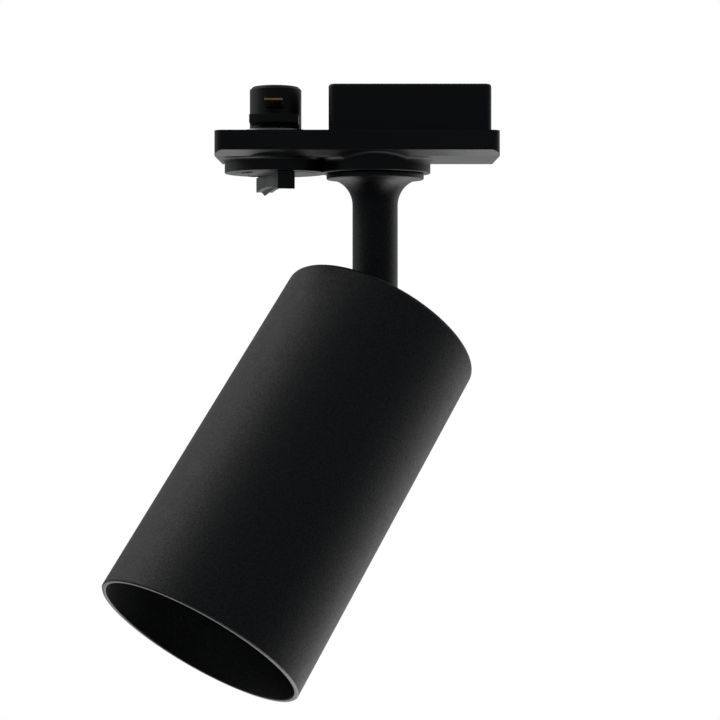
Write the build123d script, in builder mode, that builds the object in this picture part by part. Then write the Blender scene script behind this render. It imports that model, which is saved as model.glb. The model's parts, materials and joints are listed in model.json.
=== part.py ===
"""Track spotlight: a cylinder head on a round stem, hung from a plug-in track adapter.

Millimetres, +Z up. The origin is on the stem's axis, at the top face of the adapter plate, where the
adapter seats against the underside of the track. X runs along the track and Y across it.
"""

import os
from math import cos, radians, sin

from build123d import *

os.makedirs("parts", exist_ok=True)

# ---- driving dimensions ----------------------------------------------------------------------------

FIT = 0.05  # radial clearance of a shaft that turns, or of a screw in its hole
GAP = 0.3  # distance kept between surfaces that pass each other

# adapter plate
PLATE_LEFT = -42.5
PLATE_RIGHT = 32.8
PLATE_DEPTH = 32.0
PLATE_THICK = 6.7
PLATE_CORNER = 2.6
BEVEL_DEPTH = 2.4
BEVEL_HEIGHT = 1.5
BOSS_BOTTOM = -10.4
STEM_BOSS_R = 15.0
STEM_BOSS_COVE = 1.6
LOCK_BOSS_R = 13.8
LOCK_BOSS_COVE = 1.2
BOSS_EDGE_R = 0.25
POCKET_DEPTH = 4.5  # the room for the nuts, and the trough that leads from it to the lock
POCKET_R = 8.8
TROUGH_WIDTH = 7.0
WASHER_RECESS_R = 9.3
WASHER_RECESS_DEPTH = 0.9
STOP_PEG_X = 8.4  # the peg in the pocket's floor that the stop washer's tab meets
STOP_PEG_R = 0.35
STOP_PEG_HEIGHT = 1.4

# housing that goes up into the track
HOUSING_LEFT = -12.5
HOUSING_RIGHT = 31.0
HOUSING_DEPTH = 19.0
HOUSING_HEIGHT = 13.0
HOUSING_WALL = 1.4
HOUSING_SCREW_X = 9.25
HOUSING_SCREW_SPACING = (37.5, 12.4)
HOUSING_SCREW_R = 1.1
HOUSING_SCREW_LENGTH = 15.0
HOUSING_SCREW_HEAD_R = 1.8
HOUSING_SCREW_HEAD = 1.4
HOUSING_POST_R = 2.2
EARTH_X = 18.0
EARTH_WINDOW = (6.2, 5.0)  # along the housing, and up
EARTH_BOTTOM = 2.2
EARTH_WIDTH = 4.6
EARTH_THICK = 0.4
CROSS_SLOT = 0.6  # width of the recess in the small screws' heads

# lock
LOCK_X = -27.0
LOCK_DISC_R = 11.3
LOCK_DISC_THICK = 2.0
LOCK_HUB_R = 7.0
HUB_TOP = -2.0
LOCK_TOWER_TOP = 13.0
LOCK_SCREW_R = 1.5
LOCK_SCREW_HEAD_R = 2.8
LOCK_SCREW_HEAD = 2.2
LOCK_SCREW_WELL = 3.2
LEVER_WIDTH = 4.6
LEVER_NEAR = 13.3  # the thumb end, from the lock's axis
LEVER_FAR = 14.8  # the pointer end, from the lock's axis
LEVER_ROOT = -10.6
LEVER_BOTTOM = -15.2
LEVER_ARCH = -14.1  # the highest point of the hollow along the lever's underside
LEVER_FAR_BOTTOM = -14.6
POINTER_BOTTOM = -15.6  # the keel under the pointer end
POINTER_HALF = 1.3
LEVER_ANGLE = -75.0  # direction of the lever's near end about the lock's axis
WING_R = 13.0
WING_WIDTH = 13.0
WING_BOTTOM = 2.4
WING_THICK = 2.2
CLIP_R = 8.6
CLIP_THICK = 0.9
CLIP_BOTTOM = 0.35
CLIP_GROOVE = 0.6
BLADE_Z = 6.9
BLADE_THICK = 0.5
BLADE_WIDTH = 4.8
BLADE_STEP = 1.3  # the rise between the blade's root and its tip
BLADE_ROOT = 2.6
BLADE_TIP = 12.6

# stem
STEM_R = 6.15
STEM_BORE_R = 4.2
COLLAR_R = 13.2
COLLAR_TOP = -10.6
COLLAR_THICK = 1.4
FLARE_HEIGHT = 7.1
FLARE_REACH = 6.5
NIPPLE_R = 5.0
NIPPLE_BORE_R = 3.5
NIPPLE_TOP = 7.0
NIPPLE_BOTTOM = -20.4
WASHER_R = 8.0
STOP_WASHER_THICK = 0.9
WAVE_HEIGHT = 0.9
WAVE_DEPTH = 0.4
FRICTION_WASHER_R = 9.0
FRICTION_WASHER_THICK = 1.0
NUT_ACROSS = 13.0
GRUB_R = 1.25
GRUB_ABOVE = 5.0  # above the stem tube's end

# tilt joint
PIVOT_Z = -60.6
TILT = 38.6  # head axis from the vertical, at rest
AIM_AZIMUTH = 222.7  # horizontal direction of the beam, from +X towards +Y, at rest
TONGUE_THICK = 7.0
TONGUE_TOP = 8.2  # above the pivot, where the round knuckle narrows to its tongue
KNUCKLE_TOP = 16.0  # above the pivot, where the stem tube ends
SPIGOT_LENGTH = 10.0
LEAD_BORE_R = 2.9
LEAD_SLOT_HALF = 2.85
PIVOT_SCREW_R = 2.0
PIVOT_SCREW_LENGTH = 17.0
PIVOT_HEAD_R = 3.5
PIVOT_HEAD = 2.0
PIVOT_NUT_ACROSS = 6.9
PIVOT_NUT_THICK = 3.2
PIVOT_WASHER_R = 4.6
PIVOT_WASHER_THICK = 0.5

# head, measured down from its top plane along its own axis
HEAD_R = 28.0
HEAD_LENGTH = 99.2
HEAD_WALL = 2.3
EDGE_R = 1.1
MOUTH_R = 26.8  # the thinner wall in front of the lamp, where a push-in accessory seats
MOUTH_DEPTH = 20.0
CAP_THICK = 2.0
CAP_SEAT = 0.3
PIVOT_DEPTH = 7.6
PIVOT_OFFSET = -3.7  # from the head's axis, away from the side that the stem leans to
SLOT_WIDTH = 13.0
SLOT_NEAR = -10.3
SLOT_FAR = 22.4
EAR_R = 7.2
EAR_THICK = 2.2
EAR_INNER = 4.1
FOOT_REACH = 14.0
FOOT_THICK = 2.0
FOOT_SCREW_SIDE = 10.5
FOOT_SCREW_R = 1.5
FOOT_SCREW_LENGTH = 3.9
FOOT_SCREW_HEAD_R = 2.65
FOOT_WIDTH = 12.0
BRIDGE_TOP = 16.9
BRIDGE_THICK = 1.6
BRIDGE_WIDTH = 10.0
EARTH_FRONT = -17.5
EARTH_TAG_R = 3.0
EARTH_TAG_THICK = 0.8
EARTH_SCREW_R = 1.5
EARTH_SCREW_HEAD_R = 2.6
EARTH_SCREW_HEAD = 1.8
HOLDER_TOP = BRIDGE_TOP + BRIDGE_THICK + 0.1
HOLDER_HEIGHT = 13.5
HOLDER_SIZE = (26.0, 17.0)
HOLDER_SCREW_R = 1.5
HOLDER_SCREW_HEAD_R = 2.5
HOLDER_SCREW_HEAD = 1.8
HOLDER_WELL = 3.0
SOCKET_R = 2.7
SOCKET_DEPTH = 9.5
CONTACT_R = 2.5
CONTACT_THICK = 0.6
LAMP_R = 25.0
LAMP_FRONT = 75.8
LAMP_NECK_R = 11.0
LAMP_CAVITY = 14.0  # from the front down to the board's seat
LAMP_CAVITY_R = 12.0
BOARD_R = 10.5
BOARD_THICK = 1.4
CHIP_SIZE = 2.8
CHIP_THICK = 0.7
CHIP_CIRCLE_R = 5.0
CHIPS_AROUND = 6
LENS_R = 23.0
LENS_THICK = 2.0
LENSLET_R = 5.6
LENSLET_CIRCLE_R = 14.0
LENSLET_DEPTH = 0.6
PIN_SPACING = 10.0
PIN_R = 1.6
PIN_LENGTH = 7.0
PIN_HEAD_R = 2.45
PIN_HEAD = 2.4
LEAD_R = 0.8
LEAD_PITCH = 1.9
LEAD_SIDE = 2.5
LEAD_FRONT = 6.0

HANGING = (Align.CENTER, Align.CENTER, Align.MAX)
STANDING = (Align.CENTER, Align.CENTER, Align.MIN)

# ---- planes and axes ------------------------------------------------------------------------------

UP = Vector(0, 0, 1)
AIM = Vector(cos(radians(AIM_AZIMUTH)), sin(radians(AIM_AZIMUTH)), 0)
PIVOT_AXIS = AIM.cross(UP)
HEAD_UP = UP * cos(radians(TILT)) - AIM * sin(radians(TILT))
HEAD_FRONT = AIM * cos(radians(TILT)) + UP * sin(radians(TILT))
PIVOT = Vector(0, 0, PIVOT_Z)
HEAD_TOP = PIVOT - HEAD_FRONT * PIVOT_OFFSET + HEAD_UP * PIVOT_DEPTH

STEM_SECTION = Plane(origin=(0, 0, 0), x_dir=(1, 0, 0), z_dir=(0, -1, 0))
LEVER_DIR = Vector(cos(radians(LEVER_ANGLE)), sin(radians(LEVER_ANGLE)), 0)
LEVER_SIDE = Plane(origin=(LOCK_X, 0, 0), x_dir=LEVER_DIR, z_dir=LEVER_DIR.cross(UP))
HEAD = Plane(origin=HEAD_TOP, x_dir=PIVOT_AXIS, z_dir=HEAD_UP)
HEAD_SECTION = Plane(origin=HEAD_TOP, x_dir=PIVOT_AXIS, z_dir=HEAD_FRONT * -1)
HEAD_AXIS = Axis(HEAD_TOP, HEAD_UP)
TILT_PLANE = Plane(origin=PIVOT, x_dir=HEAD_FRONT, z_dir=PIVOT_AXIS)  # local X to the front, Y up the head
STEM_SIDE = Plane(origin=PIVOT, x_dir=AIM, z_dir=PIVOT_AXIS)  # local X to the aim, Y up the stem


def head_point(side, front, down):
    """A point in the head: along the pivot axis, towards its front, and down from its top plane."""
    return HEAD_TOP + PIVOT_AXIS * side + HEAD_FRONT * front - HEAD_UP * down


def stem_point(side, aim, z):
    """A point in the stem: along the pivot axis, towards the aim, and at a height."""
    return PIVOT_AXIS * side + AIM * aim + UP * z


def save(piece, label):
    """Labels a finished piece and writes its file."""
    piece.part.label = label
    export_step(piece.part, f"parts/{label}.step")


def ring(plane, outer, inner, thick):
    """A flat ring that stands on a plane and rises along its normal."""
    with BuildPart() as piece:
        with BuildSketch(plane):
            Circle(outer)
            Circle(inner, mode=Mode.SUBTRACT)
        extrude(amount=thick)
    return piece


def lead(label, points, bend):
    """An insulated lead along straight runs joined by arcs."""
    with BuildPart() as piece:
        with BuildLine() as route:
            FilletPolyline(*points, radius=bend)
        with BuildSketch(Plane(origin=route.line @ 0, z_dir=route.line % 0)):
            Circle(LEAD_R)
        sweep()
    save(piece, label)


# ---- adapter --------------------------------------------------------------------------------------


def bevel_cutter():
    """The two long prisms that are cut from the plate's lower edges."""
    with BuildPart() as cutter:
        with BuildSketch(Plane(origin=(PLATE_LEFT - 1, 0, 0), x_dir=(0, 1, 0), z_dir=(1, 0, 0))):
            for side in (-1, 1):
                front = side * PLATE_DEPTH / 2
                with BuildLine():
                    Polyline(
                        (front, -PLATE_THICK + BEVEL_HEIGHT),
                        (front - side * BEVEL_DEPTH, -PLATE_THICK),
                        (front, -PLATE_THICK),
                        close=True,
                    )
                make_face()
        extrude(amount=PLATE_RIGHT - PLATE_LEFT + 2)
    return cutter


def plate_with_boss(slab, x, radius, cove):
    """A slab with one boss under it, and the cove where the boss meets the slab."""
    with BuildPart() as piece:
        add(slab.part)
        with BuildSketch(Plane.XY.offset(BOSS_BOTTOM)):
            with Locations((x, 0)):
                Circle(radius)
        extrude(amount=-BOSS_BOTTOM - 1)
        boss = piece.faces().sort_by(Axis.Z)[0]
        base = [
            edge
            for edge in piece.edges()
            if BOSS_BOTTOM + 0.5 < edge.center().Z < -1.5
            and abs((edge @ 0.5 - Vector(x, 0, (edge @ 0.5).Z)).length - radius) < 0.01
            and edge.geom_type != GeomType.LINE
        ]
        fillet(base, radius=cove)
        fillet(boss.edges(), radius=BOSS_EDGE_R)
    return piece


with BuildPart() as square_slab:
    with BuildSketch(Plane.XY.offset(-PLATE_THICK)):
        with Locations(((PLATE_LEFT + PLATE_RIGHT) / 2, 0)):
            RectangleRounded(PLATE_RIGHT - PLATE_LEFT, PLATE_DEPTH, PLATE_CORNER)
    extrude(amount=PLATE_THICK)

with BuildPart() as bevelled_slab:
    add(square_slab.part)
    add(bevel_cutter().part, mode=Mode.SUBTRACT)

# The lock's boss stands just inside the plate's edges, and the bevels run out against its cove.
with BuildPart() as lock_bevels:
    add(bevel_cutter().part)
    with BuildSketch(Plane.XY.offset(-PLATE_THICK)):
        with Locations((LOCK_X, 0)):
            Circle(LOCK_BOSS_R + LOCK_BOSS_COVE)
    extrude(amount=PLATE_THICK, mode=Mode.SUBTRACT)

stem_half = plate_with_boss(bevelled_slab, 0, STEM_BOSS_R, STEM_BOSS_COVE)

with BuildPart() as lock_half:
    add(plate_with_boss(square_slab, LOCK_X, LOCK_BOSS_R, LOCK_BOSS_COVE).part)
    add(lock_bevels.part, mode=Mode.SUBTRACT)

with BuildPart() as base_plate:
    add(stem_half.part)
    add(lock_half.part)
    with BuildSketch():
        Circle(POCKET_R)
        with Locations(((LOCK_X + LOCK_HUB_R) / 2, 0)):
            Rectangle(-LOCK_X - LOCK_HUB_R + 2.0, TROUGH_WIDTH)
    extrude(amount=-POCKET_DEPTH, mode=Mode.SUBTRACT)
    with Locations((0, 0, 0)):
        Hole(NIPPLE_R + FIT)
    with BuildSketch(Plane.XY.offset(BOSS_BOTTOM)):
        Circle(WASHER_RECESS_R)
    extrude(amount=WASHER_RECESS_DEPTH, mode=Mode.SUBTRACT)
    with BuildSketch(Plane.XY.offset(BOSS_BOTTOM)):
        with Locations((LOCK_X, 0)):
            Circle(LOCK_DISC_R + FIT)
    extrude(amount=LOCK_DISC_THICK, mode=Mode.SUBTRACT)
    with Locations((LOCK_X, 0, 0)):
        Hole(LOCK_HUB_R + FIT)
    with BuildSketch(Plane.XY.offset(-POCKET_DEPTH)):
        with Locations((STOP_PEG_X, 0)):
            Circle(STOP_PEG_R)
    extrude(amount=STOP_PEG_HEIGHT)
    with Locations((HOUSING_SCREW_X, 0, 0)):
        with GridLocations(*HOUSING_SCREW_SPACING, 2, 2):
            Hole(HOUSING_SCREW_R + FIT, depth=5.0)
save(base_plate, "base_plate")

with BuildPart() as track_housing:
    housing_middle = (HOUSING_LEFT + HOUSING_RIGHT) / 2
    housing_length = HOUSING_RIGHT - HOUSING_LEFT
    with BuildSketch():
        with Locations((housing_middle, 0)):
            RectangleRounded(housing_length, HOUSING_DEPTH, 2.0)
    extrude(amount=HOUSING_HEIGHT)
    fillet(track_housing.faces().sort_by(Axis.Z)[-1].edges(), radius=0.8)
    with BuildSketch():
        with Locations((housing_middle, 0)):
            RectangleRounded(housing_length - 2 * HOUSING_WALL, HOUSING_DEPTH - 2 * HOUSING_WALL, 0.9)
    extrude(amount=HOUSING_HEIGHT - HOUSING_WALL, mode=Mode.SUBTRACT)
    with BuildSketch():
        with Locations((HOUSING_SCREW_X, 0)):
            with GridLocations(*HOUSING_SCREW_SPACING, 2, 2):
                Circle(HOUSING_POST_R)
    extrude(amount=HOUSING_HEIGHT - HOUSING_WALL)
    with Locations((HOUSING_SCREW_X, 0, HOUSING_HEIGHT)):
        with GridLocations(*HOUSING_SCREW_SPACING, 2, 2):
            CounterBoreHole(HOUSING_SCREW_R + FIT, HOUSING_SCREW_HEAD_R + 0.1, HOUSING_SCREW_HEAD + 0.2)
    with BuildSketch(Plane.XY.offset(EARTH_BOTTOM - 0.2)):
        with Locations((EARTH_X, HOUSING_DEPTH / 2 - HOUSING_WALL / 2)):
            Rectangle(EARTH_WINDOW[0], HOUSING_WALL + 1)
    extrude(amount=EARTH_WINDOW[1], mode=Mode.SUBTRACT)
save(track_housing, "track_housing")

with BuildPart() as housing_screws:
    with Locations((HOUSING_SCREW_X, 0, 0)):
        with GridLocations(*HOUSING_SCREW_SPACING, 2, 2):
            with Locations((0, 0, HOUSING_HEIGHT - 0.1)):
                Cylinder(HOUSING_SCREW_HEAD_R, HOUSING_SCREW_HEAD + 0.1, align=HANGING)
            with Locations((0, 0, HOUSING_HEIGHT - HOUSING_SCREW_HEAD - 0.1)):
                Cylinder(HOUSING_SCREW_R, HOUSING_SCREW_LENGTH, align=HANGING)
    with BuildSketch(Plane.XY.offset(HOUSING_HEIGHT)):
        with Locations((HOUSING_SCREW_X, 0)):
            with GridLocations(*HOUSING_SCREW_SPACING, 2, 2):
                Rectangle(HOUSING_SCREW_HEAD_R + 0.4, CROSS_SLOT)
                Rectangle(CROSS_SLOT, HOUSING_SCREW_HEAD_R + 0.4)
    extrude(amount=-0.8, mode=Mode.SUBTRACT)
save(housing_screws, "housing_screws")

# Spring strip inside the housing, whose bent tongue stands out of the window and touches the track.
with BuildPart() as earth_contact:
    wall = HOUSING_DEPTH / 2 - HOUSING_WALL
    tongue = wall + HOUSING_WALL + 0.9
    with BuildSketch(Plane.XY.offset(EARTH_BOTTOM)):
        with BuildLine():
            Polyline(
                (EARTH_X - 5.0, wall - 0.1),
                (EARTH_X - 2.6, wall - 0.1),
                (EARTH_X - 1.0, tongue),
                (EARTH_X + 1.0, tongue),
                (EARTH_X + 2.6, wall - 0.1),
                (EARTH_X + 5.0, wall - 0.1),
                (EARTH_X + 5.0, wall - 0.1 - EARTH_THICK),
                (EARTH_X + 2.3, wall - 0.1 - EARTH_THICK),
                (EARTH_X + 0.8, tongue - EARTH_THICK),
                (EARTH_X - 0.8, tongue - EARTH_THICK),
                (EARTH_X - 2.3, wall - 0.1 - EARTH_THICK),
                (EARTH_X - 5.0, wall - 0.1 - EARTH_THICK),
                close=True,
            )
        make_face()
    extrude(amount=EARTH_WIDTH)
save(earth_contact, "earth_contact")

for label, side in (("adapter_live_lead", 1), ("adapter_neutral_lead", -1)):
    start = stem_point(side * LEAD_PITCH, 0, NIPPLE_TOP + 0.3)
    lead(
        label,
        [
            start,
            start + UP * 2.9,
            Vector(-6.0, side * 3.4, 10.0),
            Vector(-9.8, side * 2.0, 6.5),
            Vector(-10.0, side * 1.2, -0.8),
            Vector(-12.2, side * 1.2, -2.9),
            Vector(LOCK_X + LOCK_HUB_R + 0.6, side * 1.2, -2.9),
        ],
        1.1,
    )
lead(
    "adapter_earth_lead",
    [
        stem_point(0, 0, NIPPLE_TOP + 0.3),
        stem_point(0, 0, NIPPLE_TOP + 3.2),
        Vector(6.5, 1.5, NIPPLE_TOP + 3.0),
        Vector(11.0, 4.8, 6.0),
        Vector(EARTH_X - 5.6, 6.6, 4.5),
    ],
    1.1,
)

# ---- lock -----------------------------------------------------------------------------------------

with BuildPart() as pointer_keel:
    for reach, bottom in ((-LEVER_FAR + 0.4, POINTER_BOTTOM), (1.0, LEVER_ARCH - 0.1)):
        start = LEVER_SIDE.origin + LEVER_DIR * reach
        station = Plane(origin=start, x_dir=LEVER_SIDE.z_dir * -1, z_dir=LEVER_DIR)
        share = (LEVER_ARCH - bottom) / (LEVER_ARCH - POINTER_BOTTOM)
        with BuildSketch(station):
            with BuildLine():
                Polyline(
                    (-POINTER_HALF * share, LEVER_ARCH + 0.1),
                    (0, bottom),
                    (POINTER_HALF * share, LEVER_ARCH + 0.1),
                    close=True,
                )
            make_face()
    loft()

with BuildPart() as lock_lever:
    with BuildSketch(Plane.XY.offset(BOSS_BOTTOM - 0.1)):
        with Locations((LOCK_X, 0)):
            Circle(LOCK_DISC_R)
    extrude(amount=LOCK_DISC_THICK)
    with BuildSketch(Plane.XY.offset(BOSS_BOTTOM)):
        with Locations((LOCK_X, 0)):
            Circle(LOCK_HUB_R)
    extrude(amount=HUB_TOP - BOSS_BOTTOM)
    with BuildSketch(LEVER_SIDE):
        with BuildLine():
            Polyline(
                (-LEVER_FAR, LEVER_FAR_BOTTOM),
                (-LEVER_FAR, LEVER_ROOT),
                (LEVER_NEAR, LEVER_ROOT),
                (LEVER_NEAR, LEVER_BOTTOM),
                (LEVER_NEAR - 1.2, LEVER_BOTTOM),
            )
            ThreePointArc(
                (LEVER_NEAR - 1.2, LEVER_BOTTOM),
                (1.5, LEVER_ARCH),
                (-LEVER_FAR, LEVER_FAR_BOTTOM),
            )
        make_face()
    extrude(amount=LEVER_WIDTH / 2, both=True)
    with BuildSketch(LEVER_SIDE):
        with Locations((0, BOSS_BOTTOM - 0.5)):
            Rectangle(2 * LOCK_DISC_R - 2, 1.0)
    extrude(amount=LEVER_WIDTH / 2, both=True)
    add(pointer_keel.part)
    with Locations((LOCK_X, 0, HUB_TOP)):
        Hole(LOCK_SCREW_R + FIT, depth=5.5)
save(lock_lever, "lock_lever")

with BuildPart() as lock_rotor:
    with BuildSketch(Plane.XY.offset(HUB_TOP + 0.05)):
        with Locations((LOCK_X, 0)):
            Circle(LOCK_HUB_R)
    extrude(amount=LOCK_TOWER_TOP - HUB_TOP - 0.05)
    chamfer(lock_rotor.faces().sort_by(Axis.Z)[-1].edges(), length=0.8)
    with BuildSketch(Plane.XY.offset(WING_BOTTOM)):
        with Locations((LOCK_X, 0)):
            Circle(WING_R)
            Rectangle(WING_WIDTH, 2 * WING_R, mode=Mode.INTERSECT)
    extrude(amount=WING_THICK)
    with BuildSketch(Plane.XY.offset(CLIP_BOTTOM - 0.05)):
        with Locations((LOCK_X, 0)):
            Circle(LOCK_HUB_R + 1)
            Circle(LOCK_HUB_R - CLIP_GROOVE, mode=Mode.SUBTRACT)
    extrude(amount=CLIP_THICK + 0.1, mode=Mode.SUBTRACT)
    with BuildSketch(Plane.XY.offset(BLADE_Z - 0.3)):
        with Locations((LOCK_X, 0)):
            Rectangle(BLADE_WIDTH + 0.2, 2 * LOCK_HUB_R + 1)
    extrude(amount=BLADE_THICK + 0.6, mode=Mode.SUBTRACT)
    with Locations((LOCK_X, 0, LOCK_TOWER_TOP)):
        CounterBoreHole(LOCK_SCREW_R + FIT, LOCK_SCREW_HEAD_R + 0.2, LOCK_SCREW_WELL)
save(lock_rotor, "lock_rotor")

with BuildPart() as rotor_clip:
    with BuildSketch(Plane.XY.offset(CLIP_BOTTOM)):
        with Locations((LOCK_X, 0)):
            Circle(CLIP_R)
            Circle(LOCK_HUB_R - CLIP_GROOVE + FIT, mode=Mode.SUBTRACT)
        with Locations((LOCK_X - 8, 0)):
            Rectangle(6.0, 8.0, mode=Mode.SUBTRACT)
    extrude(amount=CLIP_THICK)
save(rotor_clip, "rotor_clip")

with BuildPart() as rotor_screw:
    head_bottom = LOCK_TOWER_TOP - LOCK_SCREW_WELL + 0.05
    with BuildSketch(Plane.XY.offset(HUB_TOP - 5.0)):
        with Locations((LOCK_X, 0)):
            Circle(LOCK_SCREW_R)
    extrude(amount=head_bottom - HUB_TOP + 5.0)
    with BuildSketch(Plane.XY.offset(head_bottom)):
        with Locations((LOCK_X, 0)):
            Circle(LOCK_SCREW_HEAD_R)
    extrude(amount=LOCK_SCREW_HEAD)
    with BuildSketch(Plane.XY.offset(head_bottom + LOCK_SCREW_HEAD)):
        with Locations((LOCK_X, 0)):
            Rectangle(LOCK_SCREW_HEAD_R + 0.8, CROSS_SLOT)
            Rectangle(CROSS_SLOT, LOCK_SCREW_HEAD_R + 0.8)
    extrude(amount=-1.2, mode=Mode.SUBTRACT)
save(rotor_screw, "rotor_screw")

for label, side in (("live_contact", 1), ("neutral_contact", -1)):
    with BuildPart() as blade:
        with BuildSketch(Plane(origin=(LOCK_X - BLADE_WIDTH / 2, 0, 0), x_dir=(0, 1, 0), z_dir=(1, 0, 0))):
            with BuildLine():
                Polyline(
                    (side * BLADE_ROOT, BLADE_Z),
                    (side * (BLADE_TIP - 3.2), BLADE_Z),
                    (side * (BLADE_TIP - 1.2), BLADE_Z + BLADE_STEP),
                    (side * BLADE_TIP, BLADE_Z + BLADE_STEP),
                    (side * BLADE_TIP, BLADE_Z + BLADE_STEP + BLADE_THICK),
                    (side * (BLADE_TIP - 1.4), BLADE_Z + BLADE_STEP + BLADE_THICK),
                    (side * (BLADE_TIP - 3.4), BLADE_Z + BLADE_THICK),
                    (side * BLADE_ROOT, BLADE_Z + BLADE_THICK),
                    close=True,
                )
            make_face()
        extrude(amount=BLADE_WIDTH)
    save(blade, label)

# ---- stem -----------------------------------------------------------------------------------------

collar_bottom = COLLAR_TOP - COLLAR_THICK
stem_bottom = PIVOT_Z + KNUCKLE_TOP

with BuildPart() as stem_tube:
    with BuildSketch(STEM_SECTION):
        with BuildLine():
            Polyline(
                (STEM_R, collar_bottom - FLARE_HEIGHT),
                (STEM_R, stem_bottom),
                (STEM_BORE_R, stem_bottom),
                (STEM_BORE_R, NIPPLE_BOTTOM - 0.1),
                (NIPPLE_R + FIT, NIPPLE_BOTTOM - 0.1),
                (NIPPLE_R + FIT, COLLAR_TOP),
                (COLLAR_R - 0.2, COLLAR_TOP),
                (COLLAR_R, COLLAR_TOP - 0.2),
                (COLLAR_R, collar_bottom + 0.2),
                (COLLAR_R - 0.2, collar_bottom),
                (STEM_R + FLARE_REACH, collar_bottom),
            )
            EllipticalCenterArc(
                (STEM_R + FLARE_REACH, collar_bottom - FLARE_HEIGHT),
                FLARE_REACH,
                FLARE_HEIGHT,
                start_angle=90,
                arc_size=90,
            )
        make_face()
    revolve(axis=Axis.Z)
    with BuildSketch(Plane(origin=(0, 0, stem_bottom + GRUB_ABOVE), z_dir=PIVOT_AXIS)):
        Circle(GRUB_R + FIT)
    extrude(amount=2 * STEM_R, mode=Mode.SUBTRACT)
save(stem_tube, "stem_tube")

washer_seat = Plane.XY.offset(COLLAR_TOP + 0.02)
save(ring(washer_seat, FRICTION_WASHER_R, NIPPLE_R + FIT, FRICTION_WASHER_THICK), "friction_washer")

with BuildPart() as threaded_nipple:
    with BuildSketch(Plane.XY.offset(NIPPLE_BOTTOM)):
        Circle(NIPPLE_R)
        Circle(NIPPLE_BORE_R, mode=Mode.SUBTRACT)
    extrude(amount=NIPPLE_TOP - NIPPLE_BOTTOM)
    chamfer(threaded_nipple.edges().filter_by(GeomType.CIRCLE).group_by(Axis.Z)[-1], length=0.5)
save(threaded_nipple, "threaded_nipple")

with BuildPart() as stop_washer:
    with BuildSketch(Plane.XY.offset(0.1 - POCKET_DEPTH)):
        Circle(WASHER_R - GAP)
        with Locations((-WASHER_R + GAP, 0)):
            Rectangle(1.8, 0.6)
        Circle(NIPPLE_R + FIT, mode=Mode.SUBTRACT)
    extrude(amount=STOP_WASHER_THICK)
save(stop_washer, "stop_washer")

with BuildPart() as wave_washer:
    wave_bottom = STOP_WASHER_THICK + 0.15 - POCKET_DEPTH
    with BuildSketch(Plane.XY.offset(wave_bottom)):
        Circle(WASHER_R - 0.6)
        Circle(NIPPLE_R + 0.2, mode=Mode.SUBTRACT)
    extrude(amount=WAVE_HEIGHT)
    for angle in (0, 60, 120):
        slot = Plane(origin=(0, 0, wave_bottom), x_dir=(cos(radians(angle)), sin(radians(angle)), 0))
        with BuildSketch(slot):
            Rectangle(2 * WASHER_R, 2.6)
        extrude(amount=WAVE_DEPTH, mode=Mode.SUBTRACT)
save(wave_washer, "wave_washer")

for label, bottom, thick in (("nipple_nut", 2.0, 3.4), ("lock_nut", 5.45, 2.6)):
    with BuildPart() as nut:
        with BuildSketch(Plane.XY.offset(bottom - POCKET_DEPTH)):
            RegularPolygon(NUT_ACROSS / 2, 6, major_radius=False)
            Circle(NIPPLE_R + FIT, mode=Mode.SUBTRACT)
        extrude(amount=thick)
    save(nut, label)

with BuildPart() as knuckle:
    with BuildSketch(Plane.XY.offset(PIVOT_Z + TONGUE_TOP)):
        Circle(STEM_R)
    extrude(amount=KNUCKLE_TOP - TONGUE_TOP - 0.05)
    with BuildSketch(Plane.XY.offset(PIVOT_Z + KNUCKLE_TOP - 0.1)):
        Circle(STEM_BORE_R - FIT)
    extrude(amount=SPIGOT_LENGTH)
    with BuildSketch(STEM_SIDE):
        Circle(STEM_R)
        with Locations((0, TONGUE_TOP / 2)):
            Rectangle(2 * STEM_R, TONGUE_TOP + 0.1)
    extrude(amount=TONGUE_THICK / 2, both=True)
    with BuildSketch(Plane.XY.offset(PIVOT_Z - STEM_R - 1)):
        Circle(STEM_R)
    extrude(amount=STEM_R + KNUCKLE_TOP + 15, mode=Mode.INTERSECT)
    with BuildSketch(Plane.XY.offset(PIVOT_Z + 12.0)):
        Circle(LEAD_BORE_R)
    extrude(amount=2 * SPIGOT_LENGTH, mode=Mode.SUBTRACT)
    with BuildSketch(STEM_SIDE):
        with BuildLine():
            Polyline((2.3, -7), (2.3, 8.4), (-1.2, 14.0), (1.5, 18.0), (4.7, 9.0), (4.7, -7), close=True)
        make_face()
    extrude(amount=LEAD_SLOT_HALF, both=True, mode=Mode.SUBTRACT)
    with BuildSketch(STEM_SIDE):
        Circle(PIVOT_SCREW_R + FIT)
    extrude(amount=STEM_R, both=True, mode=Mode.SUBTRACT)
save(knuckle, "knuckle")

with BuildPart() as knuckle_screw:
    grub_start = Vector(0, 0, stem_bottom + GRUB_ABOVE) + PIVOT_AXIS * STEM_BORE_R
    grub_seat = Plane(origin=grub_start, z_dir=PIVOT_AXIS)
    with BuildSketch(grub_seat):
        Circle(GRUB_R)
    extrude(amount=1.6)
    with BuildSketch(grub_seat.offset(1.6)):
        RegularPolygon(GRUB_R / 2, 6)
    extrude(amount=-1.0, mode=Mode.SUBTRACT)
save(knuckle_screw, "knuckle_screw")

for label, side in (("stem_live_lead", 1), ("stem_neutral_lead", -1), ("stem_earth_lead", 0)):
    lead(
        label,
        [
            stem_point(side * LEAD_PITCH, 0, NIPPLE_TOP + 0.2),
            stem_point(side * LEAD_PITCH, 0, PIVOT_Z + 16.0),
            stem_point(side * LEAD_PITCH, 3.5, PIVOT_Z + 8.0),
            stem_point(side * LEAD_PITCH, 3.5, PIVOT_Z - 4.2),
        ],
        6.0,
    )

# ---- head -----------------------------------------------------------------------------------------

tube_inner = HEAD_R - HEAD_WALL

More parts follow.
